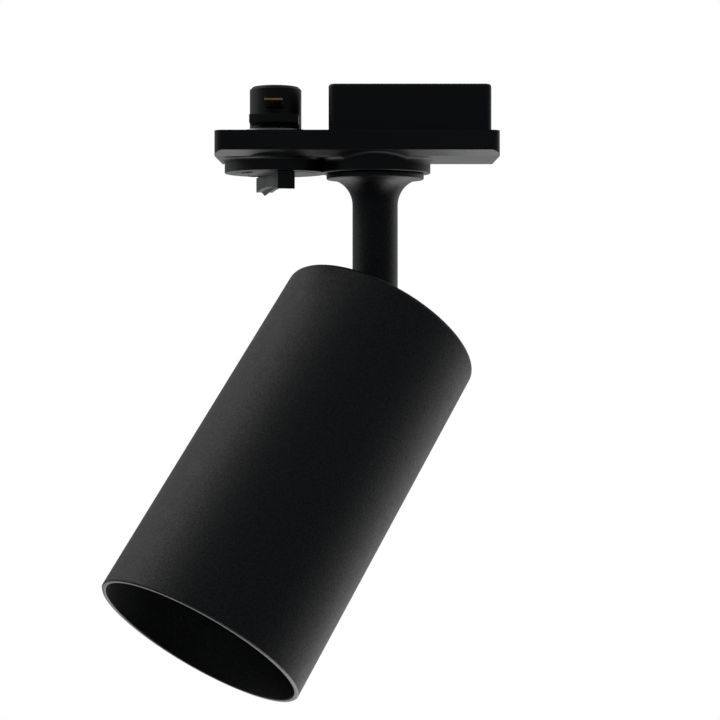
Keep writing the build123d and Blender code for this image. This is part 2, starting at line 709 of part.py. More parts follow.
with BuildPart() as head_tube:
    with BuildSketch(HEAD_SECTION):
        with BuildLine():
            Polyline(
                (HEAD_R - EDGE_R, 0),
                (tube_inner + CAP_SEAT, 0),
                (tube_inner + CAP_SEAT, -CAP_THICK),
                (tube_inner, -CAP_THICK),
                (tube_inner, -HEAD_LENGTH + MOUTH_DEPTH),
                (MOUTH_R, -HEAD_LENGTH + MOUTH_DEPTH),
                (MOUTH_R, -HEAD_LENGTH + 0.2),
                (MOUTH_R + 0.2, -HEAD_LENGTH),
                (HEAD_R - 0.3, -HEAD_LENGTH),
                (HEAD_R, -HEAD_LENGTH + 0.3),
                (HEAD_R, -EDGE_R),
            )
            CenterArc((HEAD_R - EDGE_R, -EDGE_R), EDGE_R, 0, 90)
        make_face()
    revolve(axis=HEAD_AXIS)
save(head_tube, "head_tube")

foot_screws = ((FOOT_SCREW_SIDE, PIVOT_OFFSET), (-FOOT_SCREW_SIDE, PIVOT_OFFSET))

with BuildPart() as rear_cap:
    with BuildSketch(HEAD.offset(-CAP_THICK)):
        Circle(tube_inner + CAP_SEAT - 0.02)
        with Locations((0, (SLOT_NEAR + SLOT_FAR) / 2)):
            SlotOverall(SLOT_FAR - SLOT_NEAR, SLOT_WIDTH, rotation=90, mode=Mode.SUBTRACT)
    extrude(amount=CAP_THICK)
    with Locations(HEAD):
        with Locations(*foot_screws):
            CounterSinkHole(FOOT_SCREW_R + FIT, counter_sink_radius=FOOT_SCREW_HEAD_R + 0.15)
    with BuildSketch(HEAD.offset(-CAP_THICK)):
        with Locations((0, EARTH_FRONT)):
            Circle(EARTH_SCREW_R + FIT)
    extrude(amount=CAP_THICK - 0.5, mode=Mode.SUBTRACT)
save(rear_cap, "rear_cap")

with BuildPart() as cap_screws:
    with Locations(HEAD.offset(-0.1)):
        with Locations(*foot_screws):
            Cone(FOOT_SCREW_R, FOOT_SCREW_HEAD_R, FOOT_SCREW_HEAD_R - FOOT_SCREW_R, align=HANGING)
            Cylinder(FOOT_SCREW_R, FOOT_SCREW_LENGTH, align=HANGING)
    with BuildSketch(HEAD):
        with Locations(*foot_screws):
            Rectangle(FOOT_SCREW_HEAD_R, CROSS_SLOT)
            Rectangle(CROSS_SLOT, FOOT_SCREW_HEAD_R)
    extrude(amount=-0.9, mode=Mode.SUBTRACT)
save(cap_screws, "cap_screws")

# Hat-shaped strip: two feet under the cap, two ears beside the knuckle, and a bridge below it.
with BuildPart() as pivot_bracket:
    foot_level = -CAP_THICK - 0.02
    ear_bottom = PIVOT_DEPTH - BRIDGE_TOP - BRIDGE_THICK
    for side in (1, -1):
        ear_plane = TILT_PLANE.offset(side * EAR_INNER)
        with BuildSketch(ear_plane):
            Circle(EAR_R)
            with Locations((0, (ear_bottom + PIVOT_DEPTH + foot_level) / 2)):
                Rectangle(BRIDGE_WIDTH, PIVOT_DEPTH + foot_level - ear_bottom)
            with Locations((0, PIVOT_DEPTH + foot_level + EAR_R)):
                Rectangle(4 * EAR_R, 2 * EAR_R, mode=Mode.SUBTRACT)
        extrude(amount=side * EAR_THICK)
        with BuildSketch(HEAD.offset(foot_level)):
            with Locations((side * (EAR_INNER + EAR_THICK + FOOT_REACH) / 2, PIVOT_OFFSET)):
                Rectangle(FOOT_REACH - EAR_INNER - EAR_THICK + 0.2, FOOT_WIDTH)
        extrude(amount=-FOOT_THICK)
    with BuildSketch(HEAD.offset(-BRIDGE_TOP)):
        with Locations((0, PIVOT_OFFSET)):
            Rectangle(2 * (EAR_INNER + EAR_THICK), BRIDGE_WIDTH)
    extrude(amount=-BRIDGE_THICK)
    with BuildSketch(TILT_PLANE):
        Circle(PIVOT_SCREW_R + FIT)
    extrude(amount=HEAD_R, both=True, mode=Mode.SUBTRACT)
    with Locations(HEAD.offset(foot_level)):
        with Locations(*foot_screws):
            Hole(FOOT_SCREW_R + FIT, depth=FOOT_THICK + 0.1)
    with Locations(HEAD.offset(-BRIDGE_TOP)):
        with Locations((0, PIVOT_OFFSET)):
            Hole(HOLDER_SCREW_R + FIT, depth=BRIDGE_THICK + 0.1)
save(pivot_bracket, "pivot_bracket")

with BuildPart() as pivot_screw:
    screw_end = TILT_PLANE.offset(EAR_INNER + EAR_THICK + 0.05)
    with BuildSketch(screw_end):
        Circle(PIVOT_HEAD_R)
    extrude(amount=PIVOT_HEAD)
    fillet(pivot_screw.edges().filter_by(GeomType.CIRCLE).sort_by(Axis(PIVOT, PIVOT_AXIS))[-1], radius=0.6)
    with BuildSketch(screw_end.offset(PIVOT_HEAD)):
        RegularPolygon(1.3, 6)
    extrude(amount=-1.2, mode=Mode.SUBTRACT)
    with BuildSketch(screw_end):
        Circle(PIVOT_SCREW_R)
    extrude(amount=-PIVOT_SCREW_LENGTH)
save(pivot_screw, "pivot_screw")

with BuildPart() as pivot_nut:
    with BuildSketch(TILT_PLANE.offset(-EAR_INNER - EAR_THICK - 0.05)):
        RegularPolygon(PIVOT_NUT_ACROSS / 2, 6, major_radius=False)
        Circle(PIVOT_SCREW_R + FIT, mode=Mode.SUBTRACT)
    extrude(amount=-PIVOT_NUT_THICK)
save(pivot_nut, "pivot_nut")

with BuildPart() as pivot_washers:
    for side in (1, -1):
        with BuildSketch(TILT_PLANE.offset(side * (TONGUE_THICK / 2 + 0.03))):
            Circle(PIVOT_WASHER_R)
            Circle(PIVOT_SCREW_R + FIT, mode=Mode.SUBTRACT)
        extrude(amount=side * PIVOT_WASHER_THICK)
save(pivot_washers, "pivot_washers")

holder_front = HOLDER_TOP + HOLDER_HEIGHT
pins = ((PIN_SPACING / 2, 0), (-PIN_SPACING / 2, 0))

with BuildPart() as lampholder:
    with BuildSketch(HEAD.offset(-HOLDER_TOP)):
        RectangleRounded(*HOLDER_SIZE, 4.0)
    extrude(amount=-HOLDER_HEIGHT)
    fillet(lampholder.edges().group_by(HEAD_AXIS)[0], radius=0.8)
    with BuildSketch(HEAD.offset(-holder_front)):
        with Locations(*pins):
            Circle(SOCKET_R)
    extrude(amount=SOCKET_DEPTH, mode=Mode.SUBTRACT)
    with BuildSketch(HEAD.offset(-HOLDER_TOP)):
        with Locations((LEAD_SIDE, LEAD_FRONT), (-LEAD_SIDE, LEAD_FRONT)):
            Circle(LEAD_R + FIT)
    extrude(amount=-2.5, mode=Mode.SUBTRACT)
    with BuildSketch(HEAD.offset(-HOLDER_TOP)):
        with Locations((0, PIVOT_OFFSET)):
            Circle(HOLDER_SCREW_R + FIT)
    extrude(amount=-HOLDER_HEIGHT, mode=Mode.SUBTRACT)
    with BuildSketch(HEAD.offset(-holder_front)):
        with Locations((0, PIVOT_OFFSET)):
            Circle(HOLDER_SCREW_HEAD_R + 0.2)
    extrude(amount=HOLDER_WELL, mode=Mode.SUBTRACT)
save(lampholder, "lampholder")

with BuildPart() as lampholder_contacts:
    with BuildSketch(HEAD.offset(-holder_front + SOCKET_DEPTH - 0.1)):
        with Locations(*pins):
            Circle(CONTACT_R)
    extrude(amount=-CONTACT_THICK)
save(lampholder_contacts, "lampholder_contacts")

with BuildPart() as lampholder_screw:
    well_seat = holder_front - HOLDER_WELL
    with BuildSketch(HEAD.offset(-BRIDGE_TOP - 0.05)):
        with Locations((0, PIVOT_OFFSET)):
            Circle(HOLDER_SCREW_R)
    extrude(amount=BRIDGE_TOP - well_seat - 0.5)
    with BuildSketch(HEAD.offset(-well_seat - 0.02)):
        with Locations((0, PIVOT_OFFSET)):
            Circle(HOLDER_SCREW_HEAD_R)
    extrude(amount=-HOLDER_SCREW_HEAD)
    with BuildSketch(HEAD.offset(-well_seat - 0.02 - HOLDER_SCREW_HEAD)):
        with Locations((0, PIVOT_OFFSET)):
            Rectangle(HOLDER_SCREW_HEAD_R + 0.5, CROSS_SLOT)
            Rectangle(CROSS_SLOT, HOLDER_SCREW_HEAD_R + 0.5)
    extrude(amount=1.0, mode=Mode.SUBTRACT)
save(lampholder_screw, "lampholder_screw")

with BuildPart() as lamp_body:
    base_top = holder_front + GAP
    with BuildSketch(HEAD_SECTION):
        with BuildLine():
            Polyline(
                (0, -base_top),
                (LAMP_NECK_R - 0.5, -base_top),
                (LAMP_NECK_R, -base_top - 0.5),
                (LAMP_NECK_R, -base_top - 10.0),
                (15.0, -base_top - 16.0),
                (17.5, -base_top - 20.0),
                (LAMP_R - 0.6, -LAMP_FRONT + 9.0),
                (LAMP_R, -LAMP_FRONT + 7.0),
                (LAMP_R, -LAMP_FRONT + 0.6),
                (LAMP_R - 0.6, -LAMP_FRONT),
                (LENS_R + 0.05, -LAMP_FRONT),
                (LENS_R + 0.05, -LAMP_FRONT + LENS_THICK + 0.1),
                (LENS_R - 2.0, -LAMP_FRONT + LENS_THICK + 0.1),
                (LAMP_CAVITY_R, -LAMP_FRONT + LAMP_CAVITY),
                (0, -LAMP_FRONT + LAMP_CAVITY),
                close=True,
            )
        make_face()
    revolve(axis=HEAD_AXIS)
save(lamp_body, "lamp_body")

with BuildPart() as lamp_board:
    board_seat = -LAMP_FRONT + LAMP_CAVITY - 0.05
    with BuildSketch(HEAD.offset(board_seat)):
        Circle(BOARD_R)
    extrude(amount=-BOARD_THICK)
    with BuildSketch(HEAD.offset(board_seat - BOARD_THICK)):
        with PolarLocations(CHIP_CIRCLE_R, CHIPS_AROUND):
            Rectangle(CHIP_SIZE, CHIP_SIZE)
        Rectangle(CHIP_SIZE, CHIP_SIZE)
    extrude(amount=-CHIP_THICK)
save(lamp_board, "lamp_board")

with BuildPart() as lamp_lens:
    with BuildSketch(HEAD.offset(-LAMP_FRONT + 0.05)):
        Circle(LENS_R)
    extrude(amount=LENS_THICK)
    with BuildSketch(HEAD.offset(-LAMP_FRONT + 0.05)):
        with PolarLocations(LENSLET_CIRCLE_R, CHIPS_AROUND):
            Circle(LENSLET_R)
        Circle(LENSLET_R)
    extrude(amount=LENSLET_DEPTH, mode=Mode.SUBTRACT)
save(lamp_lens, "lamp_lens")

with BuildPart() as lamp_pins:
    with Locations(HEAD.offset(-base_top)):
        with Locations(*pins):
            Cylinder(PIN_R, PIN_LENGTH, align=STANDING)
            with Locations((0, 0, PIN_LENGTH - PIN_HEAD)):
                Cylinder(PIN_HEAD_R, PIN_HEAD, align=STANDING)
save(lamp_pins, "lamp_pins")

with BuildPart() as earth_tag:
    with BuildSketch(HEAD.offset(-CAP_THICK - 0.02)):
        with Locations((0, EARTH_FRONT)):
            Circle(EARTH_TAG_R)
            Circle(EARTH_SCREW_R + FIT, mode=Mode.SUBTRACT)
    extrude(amount=-EARTH_TAG_THICK)
save(earth_tag, "earth_tag")

with BuildPart() as earth_screw:
    tag_face = -CAP_THICK - EARTH_TAG_THICK - 0.05
    with BuildSketch(HEAD.offset(-CAP_THICK + 1.4)):
        with Locations((0, EARTH_FRONT)):
            Circle(EARTH_SCREW_R)
    extrude(amount=-3.0)
    with BuildSketch(HEAD.offset(tag_face)):
        with Locations((0, EARTH_FRONT)):
            Circle(EARTH_SCREW_HEAD_R)
    extrude(amount=-EARTH_SCREW_HEAD)
    with BuildSketch(HEAD.offset(tag_face - EARTH_SCREW_HEAD)):
        with Locations((0, EARTH_FRONT)):
            Rectangle(EARTH_SCREW_HEAD_R + 0.6, CROSS_SLOT)
            Rectangle(CROSS_SLOT, EARTH_SCREW_HEAD_R + 0.6)
    extrude(amount=1.0, mode=Mode.SUBTRACT)
save(earth_screw, "earth_screw")

for label, side in (("head_live_lead", 1), ("head_neutral_lead", -1)):
    lead(
        label,
        [
            head_point(side * LEAD_PITCH, -4.4, 15.4),
            head_point(side * LEAD_PITCH, 1.6, 15.4),
            head_point(side * LEAD_SIDE, LEAD_FRONT, 17.0),
            head_point(side * LEAD_SIDE, LEAD_FRONT, HOLDER_TOP + 2.4),
        ],
        1.2,
    )
lead(
    "head_earth_lead",
    [
        head_point(0, -3.4, 15.4),
        head_point(0, -9.6, 15.4),
        head_point(0, -13.6, 12.0),
        head_point(0, -13.6, 3.4),
    ],
    1.1,
)
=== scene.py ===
"""The track spotlight's looks: materials, fine detail, light and camera, around the CAD frame.

Metres, in the part's own frame: +Z up, origin on the stem's axis at the top of the adapter plate.
"""

import json
import math

import bmesh
import bpy
from mathutils import Matrix, Vector


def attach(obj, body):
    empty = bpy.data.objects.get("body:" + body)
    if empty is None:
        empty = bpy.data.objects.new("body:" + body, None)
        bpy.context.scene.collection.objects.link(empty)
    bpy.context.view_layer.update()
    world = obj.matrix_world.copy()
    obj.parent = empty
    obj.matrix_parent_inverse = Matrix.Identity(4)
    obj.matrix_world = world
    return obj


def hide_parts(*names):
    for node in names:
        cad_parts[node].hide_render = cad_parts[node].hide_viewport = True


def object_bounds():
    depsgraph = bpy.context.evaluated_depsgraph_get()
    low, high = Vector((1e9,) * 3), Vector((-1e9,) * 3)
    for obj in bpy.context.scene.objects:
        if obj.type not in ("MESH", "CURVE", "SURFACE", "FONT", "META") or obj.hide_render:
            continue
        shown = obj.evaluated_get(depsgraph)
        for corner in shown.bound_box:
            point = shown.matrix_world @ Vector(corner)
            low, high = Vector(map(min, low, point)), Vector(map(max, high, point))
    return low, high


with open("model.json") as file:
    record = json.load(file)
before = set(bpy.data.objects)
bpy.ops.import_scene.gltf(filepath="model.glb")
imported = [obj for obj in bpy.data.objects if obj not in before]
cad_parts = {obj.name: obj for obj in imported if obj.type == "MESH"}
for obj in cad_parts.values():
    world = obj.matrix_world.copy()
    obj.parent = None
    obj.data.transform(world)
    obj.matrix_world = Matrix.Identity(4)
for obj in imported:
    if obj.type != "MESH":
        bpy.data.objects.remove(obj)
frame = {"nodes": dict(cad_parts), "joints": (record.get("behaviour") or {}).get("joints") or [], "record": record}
cad_low, cad_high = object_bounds()

MM = 0.001
UP = Vector((0, 0, 1))
SHARP_ANGLE = 35  # degrees, over which an edge is drawn sharp

# ---- places taken from the frame ------------------------------------------------------------------

joints = {joint["name"]: joint for joint in frame["joints"]}
mounts = {mount["name"]: mount for mount in frame["record"]["mounts"]}

PIVOT_AXIS = Vector(joints["tilt"]["axis"]).normalized()
LOCK_PLACE = Vector(joints["lock_turn"]["pos_m"])

MOUTH_SEAT_DEPTH = 89.1 * MM  # from the head's top plane to the middle of its mouth seat
HEAD_UP = -Vector(mounts["head_mouth"]["axis"]).normalized()
HEAD_FRONT = HEAD_UP.cross(PIVOT_AXIS).normalized()
HEAD_TOP = Vector(mounts["head_mouth"]["pos_m"]) + HEAD_UP * MOUTH_SEAT_DEPTH


def axes(origin, x, y, z):
    """The matrix that puts local X, Y and Z along three directions at an origin."""
    turn = Matrix((x, y, z)).transposed()
    return Matrix.Translation(origin) @ turn.to_4x4()


HEAD = axes(HEAD_TOP, PIVOT_AXIS, HEAD_FRONT, HEAD_UP)

# ---- node graphs ----------------------------------------------------------------------------------


class Graph:
    """A material's nodes, with short ways to add what the finishes below share."""

    def __init__(self, name, **constants):
        self.material = bpy.data.materials.new(name)
        self.material.use_nodes = True
        self.tree = self.material.node_tree
        self.shader = self.tree.nodes["Principled BSDF"]
        for words, value in constants.items():
            self.shader.inputs[words.replace("_", " ")].default_value = value
        self.place = self.add("ShaderNodeTexCoord").outputs["Object"]

    def add(self, kind, inputs=None, **settings):
        """A node with its settings, its constants and its links."""
        node = self.tree.nodes.new(kind)
        for key, value in settings.items():
            setattr(node, key, value)
        for key, value in (inputs or {}).items():
            if isinstance(value, bpy.types.NodeSocket):
                self.tree.links.new(value, node.inputs[key])
            else:
                node.inputs[key].default_value = value
        return node

    def link(self, output, socket):
        self.tree.links.new(output, self.shader.inputs[socket])

    def noise(self, size, detail=3.0, roughness=0.55, stretch=(1, 1, 1), distortion=0.0):
        """Noise whose grains are about that many metres across."""
        place = self.place
        if stretch != (1, 1, 1):
            place = self.add("ShaderNodeMapping", {"Vector": place, "Scale": stretch}).outputs["Vector"]
        inputs = {
            "Vector": place,
            "Scale": 1 / size,
            "Detail": detail,
            "Roughness": roughness,
            "Distortion": distortion,
        }
        return self.add("ShaderNodeTexNoise", inputs).outputs["Fac"]

    def cells(self, size, feature="F1"):
        """Distance inside cells that are about that many metres across."""
        inputs = {"Vector": self.place, "Scale": 1 / size}
        return self.add("ShaderNodeTexVoronoi", inputs, feature=feature).outputs["Distance"]

    def remap(self, value, low, high, to_low, to_high):
        """The value, carried from one range to another and held at its ends."""
        inputs = {"Value": value, "From Min": low, "From Max": high, "To Min": to_low, "To Max": to_high}
        return self.add("ShaderNodeMapRange", inputs).outputs["Result"]

    def maths(self, operation, a, b):
        return self.add("ShaderNodeMath", {0: a, 1: b}, operation=operation).outputs["Value"]

    def mix(self, factor, a, b):
        """A colour between two colours."""
        inputs = {"Factor": factor, "A": a, "B": b}
        node = self.add("ShaderNodeMix", data_type="RGBA")
        for key, value in inputs.items():
            socket = next(s for s in node.inputs if s.name == key and s.enabled)
            if isinstance(value, bpy.types.NodeSocket):
                self.tree.links.new(value, socket)
            else:
                socket.default_value = value
        return next(s for s in node.outputs if s.enabled)

    def rounded(self, radius):
        """The surface's normal, turned smoothly over its sharp edges."""
        return self.add("ShaderNodeBevel", {"Radius": radius}, samples=6).outputs["Normal"]

    def edges(self, radius, strength=3.0):
        """1 along sharp edges and 0 on open faces."""
        true = self.add("ShaderNodeNewGeometry").outputs["Normal"]
        inputs = {0: self.rounded(radius), 1: true}
        along = self.add("ShaderNodeVectorMath", inputs, operation="DOT_PRODUCT").outputs["Value"]
        return self.remap(along, 1.0, 1.0 - 1.0 / strength, 0.0, 1.0)

    def bump(self, height, distance, strength=1.0, normal=None):
        """The normal over a height, whose full range is that distance in metres."""
        inputs = {"Height": height, "Distance": distance, "Strength": strength}
        if normal is not None:
            inputs["Normal"] = normal
        return self.add("ShaderNodeBump", inputs).outputs["Normal"]


def grey(value, warm=0.0):
    return (value * (1 + warm), value, value * (1 - warm), 1)


# ---- finishes -------------------------------------------------------------------------------------


def powder_coat():
    """Fine-grained matt black powder coat, thinner and a little brighter along sharp edges."""
    g = Graph("black_powder_coat_finish", IOR=1.45)
    grain = g.noise(0.45 * MM, detail=3.0, roughness=0.6)
    fine = g.noise(0.16 * MM, detail=2.0)
    mottle = g.noise(4.0 * MM, detail=3.0)
    cloud = g.noise(22 * MM, detail=2.0)
    edge = g.maths("MULTIPLY", g.edges(0.35 * MM), g.remap(mottle, 0.35, 0.65, 0.35, 1.0))
    body = g.mix(g.remap(grain, 0.42, 0.68, 0.0, 1.0), grey(0.0032, -0.12), grey(0.0085, -0.08))
    body = g.mix(g.remap(cloud, 0.3, 0.7, 0.0, 0.5), body, grey(0.0048, -0.05))
    g.link(g.mix(g.maths("MULTIPLY", edge, 0.75), body, grey(0.045)), "Base Color")
    rough = g.remap(grain, 0.3, 0.75, 0.46, 0.38)
    rough = g.maths("ADD", rough, g.remap(mottle, 0.3, 0.7, -0.03, 0.03))
    g.link(g.maths("SUBTRACT", rough, g.maths("MULTIPLY", edge, 0.08)), "Roughness")
    height = g.maths("ADD", g.maths("MULTIPLY", grain, 0.75), g.maths("MULTIPLY", fine, 0.25))
    g.link(g.bump(height, 0.12 * MM, 0.9, g.rounded(0.12 * MM)), "Normal")
    g.link(g.remap(grain, 0.32, 0.68, 0.35, 0.61), "Specular IOR Level")
    return g.material


def moulded_black():
    """Satin black moulded plastic with a spark-eroded texture and polished edges."""
    g = Graph("adapter_plastic_finish", IOR=1.42)
    texture = g.noise(0.22 * MM, detail=3.0, roughness=0.65)
    flow = g.noise(7 * MM, detail=2.0, stretch=(0.35, 1, 1), distortion=0.6)
    scuffs = g.noise(1.6 * MM, detail=5.0, roughness=0.7, stretch=(0.25, 1, 1))
    edge = g.edges(0.25 * MM)
    body = g.mix(g.remap(flow, 0.35, 0.65, 0.0, 1.0), grey(0.0018, -0.14), grey(0.0036, -0.12))
    g.link(g.mix(g.maths("MULTIPLY", edge, 0.6), body, grey(0.022)), "Base Color")
    rough = g.remap(flow, 0.3, 0.7, 0.36, 0.44)
    rough = g.maths("ADD", rough, g.remap(scuffs, 0.55, 0.75, 0.0, 0.08))
    g.link(g.maths("SUBTRACT", rough, g.maths("MULTIPLY", edge, 0.06)), "Roughness")
    g.link(g.bump(texture, 0.012 * MM, 0.5, g.rounded(0.18 * MM)), "Normal")
    return g.material


def zinc_plate():
    """Bright zinc on steel: faint passivation tints, fine drawing marks and dull spots."""
    g = Graph("zinc_steel_finish", Metallic=1.0)
    tint = g.noise(3.0 * MM, detail=2.0)
    marks = g.noise(0.5 * MM, detail=4.0, stretch=(1, 1, 0.12))
    spots = g.noise(0.9 * MM, detail=5.0, roughness=0.7)
    body = g.mix(g.remap(tint, 0.35, 0.65, 0.0, 1.0), (0.56, 0.58, 0.62, 1), (0.66, 0.63, 0.55, 1))
    g.link(g.mix(g.remap(spots, 0.56, 0.72, 0.0, 0.6), body, grey(0.34)), "Base Color")
    rough = g.remap(marks, 0.3, 0.7, 0.22, 0.36)
    g.link(g.maths("ADD", rough, g.remap(spots, 0.5, 0.7, 0.0, 0.16)), "Roughness")
    g.link(g.bump(marks, 0.006 * MM, 0.6, g.rounded(0.1 * MM)), "Normal")
    return g.material


def bronze():
    """Spring bronze strip with a light tarnish that gathers away from its edges."""
    g = Graph("copper_alloy_finish", Metallic=1.0)
    tarnish = g.noise(1.8 * MM, detail=5.0, roughness=0.65)
    rolled = g.noise(0.4 * MM, detail=3.0, stretch=(1, 0.1, 1))
    edge = g.edges(0.2 * MM)
    body = g.mix(g.remap(tarnish, 0.4, 0.7, 0.0, 1.0), (0.80, 0.55, 0.29, 1), (0.47, 0.28, 0.13, 1))
    g.link(g.mix(g.maths("MULTIPLY", edge, 0.7), body, (0.88, 0.66, 0.40, 1)), "Base Color")
    g.link(g.remap(tarnish, 0.35, 0.7, 0.2, 0.42), "Roughness")
    g.link(g.bump(rolled, 0.005 * MM, 0.5, g.rounded(0.08 * MM)), "Normal")
    return g.material


def ceramic():
    """Unglazed white ceramic with fine pits and grey handling marks."""
    g = Graph("ceramic_white_finish")
    grain = g.noise(0.35 * MM, detail=4.0, roughness=0.6)
    stain = g.noise(5 * MM, detail=4.0)
    pits = g.cells(0.9 * MM)
    body = g.mix(g.remap(stain, 0.45, 0.75, 0.0, 0.7), (0.80, 0.78, 0.72, 1), (0.62, 0.59, 0.53, 1))
    g.link(g.mix(g.remap(pits, 0.0, 0.12, 0.35, 0.0), body, (0.35, 0.33, 0.30, 1)), "Base Color")
    g.link(g.remap(grain, 0.3, 0.7, 0.58, 0.74), "Roughness")
    g.link(g.bump(grain, 0.02 * MM, 0.5, g.rounded(0.2 * MM)), "Normal")
    return g.material


def lamp_plastic():
    """The lamp's satin white moulded body."""
    g = Graph("lamp_white_finish")
    texture = g.noise(0.25 * MM, detail=3.0)
    age = g.noise(9 * MM, detail=3.0)
    body = g.mix(g.remap(age, 0.35, 0.7, 0.0, 1.0), (0.80, 0.80, 0.79, 1), (0.73, 0.71, 0.66, 1))
    g.link(body, "Base Color")
    g.link(g.remap(texture, 0.3, 0.7, 0.32, 0.44), "Roughness")
    g.link(g.bump(texture, 0.01 * MM, 0.4, g.rounded(0.25 * MM)), "Normal")
    return g.material


def lamp_optic():
    """Clear moulded lens with a faint frost and flow lines."""
    g = Graph("lamp_optic_finish", Transmission_Weight=0.92, IOR=1.49)
    frost = g.noise(0.5 * MM, detail=3.0)
    flow = g.noise(6 * MM, detail=2.0, distortion=0.8)
    g.link(g.mix(flow, (0.93, 0.96, 1.0, 1), (0.86, 0.90, 0.95, 1)), "Base Color")
    g.link(g.remap(frost, 0.3, 0.7, 0.05, 0.14), "Roughness")
    g.link(g.bump(flow, 0.05 * MM, 0.25), "Normal")
    return g.material


def circuit_board():
    """White solder mask over copper, with the tracks' edges just showing."""
    g = Graph("lamp_board_finish")
    mask = g.noise(0.6 * MM, detail=3.0)
    tracks = g.cells(3.2 * MM, "DISTANCE_TO_EDGE")
    seam = g.remap(tracks, 0.02, 0.07, 1.0, 0.0)
    body = g.mix(g.remap(mask, 0.3, 0.7, 0.0, 1.0), (0.80, 0.81, 0.79, 1), (0.74, 0.75, 0.72, 1))
    g.link(g.mix(g.maths("MULTIPLY", seam, 0.5), body, (0.52, 0.50, 0.42, 1)), "Base Color")
    g.link(g.remap(mask, 0.3, 0.7, 0.3, 0.42), "Roughness")
    g.link(g.bump(seam, 0.02 * MM, 0.5), "Normal")
    return g.material


def phosphor():
    """The yellow silicone over each light chip."""
    g = Graph("phosphor_finish", Subsurface_Weight=0.2, Subsurface_Scale=0.4 * MM)
    grain = g.noise(0.1 * MM, detail=3.0)
    g.link(g.mix(grain, (0.80, 0.62, 0.08, 1), (0.86, 0.74, 0.22, 1)), "Base Color")
    g.link(g.remap(grain, 0.3, 0.7, 0.25, 0.4), "Roughness")
    g.link(g.bump(grain, 0.01 * MM, 0.4), "Normal")
    return g.material


def fibre():
    """Hard vulcanised fibre: dark, matt, with short pressed fibres."""
    g = Graph("fibre_washer_finish")
    fibres = g.noise(0.5 * MM, detail=4.0, stretch=(1, 0.15, 1), distortion=1.2)
    body = g.mix(g.remap(fibres, 0.35, 0.7, 0.0, 1.0), (0.07, 0.055, 0.045, 1), (0.16, 0.12, 0.09, 1))
    g.link(body, "Base Color")
    g.link(g.remap(fibres, 0.3, 0.7, 0.66, 0.82), "Roughness")
    g.link(g.bump(fibres, 0.02 * MM, 0.5), "Normal")
    return g.material


def insulation(name, colour, stripe=None):
    """Silicone insulation, slightly dusty, with a second colour in long stripes where there is one."""
    g = Graph(name)
    dust = g.noise(0.8 * MM, detail=4.0)
    body = g.mix(g.remap(dust, 0.45, 0.8, 0.0, 0.35), (*colour, 1), grey(0.30, 0.05))
    if stripe:
        bands = g.add("ShaderNodeTexWave", {"Vector": g.place, "Scale": 90.0}, bands_direction="DIAGONAL")
        share = g.remap(bands.outputs["Fac"], 0.45, 0.55, 0.0, 1.0)
        body = g.mix(share, body, (*stripe, 1))
    g.link(body, "Base Color")
    g.link(g.remap(dust, 0.3, 0.7, 0.42, 0.58), "Roughness")
    g.link(g.bump(dust, 0.01 * MM, 0.4), "Normal")
    return g.material


finishes = {
    "adapter_plastic": moulded_black(),
    "black_powder_coat": powder_coat(),
    "zinc_steel": zinc_plate(),
    "copper_alloy": bronze(),
    "ceramic_white": ceramic(),
    "lamp_white": lamp_plastic(),
    "lamp_optic": lamp_optic(),
    "lamp_board": circuit_board(),
    "fibre_washer": fibre(),
    "lead_brown": insulation("lead_brown_finish", (0.13, 0.055, 0.025)),
    "lead_blue": insulation("lead_blue_finish", (0.03, 0.09, 0.33)),
    "lead_green": insulation("lead_green_finish", (0.07, 0.28, 0.06), (0.72, 0.62, 0.06)),
}

for node in frame["nodes"].values():
    for material_slot in node.material_slots:
        material_slot.material = finishes[material_slot.material.name.split(".")[0]]

# ---- details that are finer than the CAD -----------------------------------------------------------


def solid(name, shape, slot, body, node=None, place=Matrix()):
    """Turns a bmesh into an object that rides a body, or takes the place of a CAD node."""
    bmesh.ops.recalc_face_normals(shape, faces=shape.faces)
    shape.transform(place)
    mesh = bpy.data.meshes.new(name)
    shape.to_mesh(mesh)
    shape.free()
    mesh.materials.append(finishes[slot])
    made = bpy.data.objects.new(name, mesh)
    bpy.context.scene.collection.objects.link(made)
    mesh.shade_smooth()
    mesh.set_sharp_from_angle(angle=math.radians(SHARP_ANGLE))
    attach(made, body)
    if node:
        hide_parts(node)
    return made


def grid_tube(shape, rings):
    """Joins closed rings of points, each to the next and the last back to the first."""
    made = [[shape.verts.new(point) for point in ring] for ring in rings]
    count = len(made[0])
    for here, there in zip(made, made[1:] + made[:1]):
        for i in range(count):
            j = (i + 1) % count
            shape.faces.new((here[i], here[j], there[j], there[i]))


def prism(shape, outline, low, high, ease=0.06 * MM):
    """A low block on an outline, whose upper edge is eased."""
    middle_x = sum(x for x, _ in outline) / len(outline)
    middle_y = sum(y for _, y in outline) / len(outline)
    reach = max(math.hypot(x - middle_x, y - middle_y) for x, y in outline)
    levels = ((low, 1.0), (high - ease, 1.0), (high, 1.0 - ease / reach))
    rows = [
        [
            shape.verts.new((middle_x + (x - middle_x) * scale, middle_y + (y - middle_y) * scale, z))
            for x, y in outline
        ]
        for z, scale in levels
    ]
    count = len(outline)
    for here, there in zip(rows, rows[1:]):
        for i in range(count):
            j = (i + 1) % count
            shape.faces.new((here[i], here[j], there[j], there[i]))
    shape.faces.new(rows[0])
    shape.faces.new(rows[-1])


def arc_points(x, y, radius, start, end, count):
    """Points along an arc, in degrees."""
    turns = [math.radians(start + (end - start) * i / (count - 1)) for i in range(count)]
    return [(x + radius * math.cos(turn), y + radius * math.sin(turn)) for turn in turns]


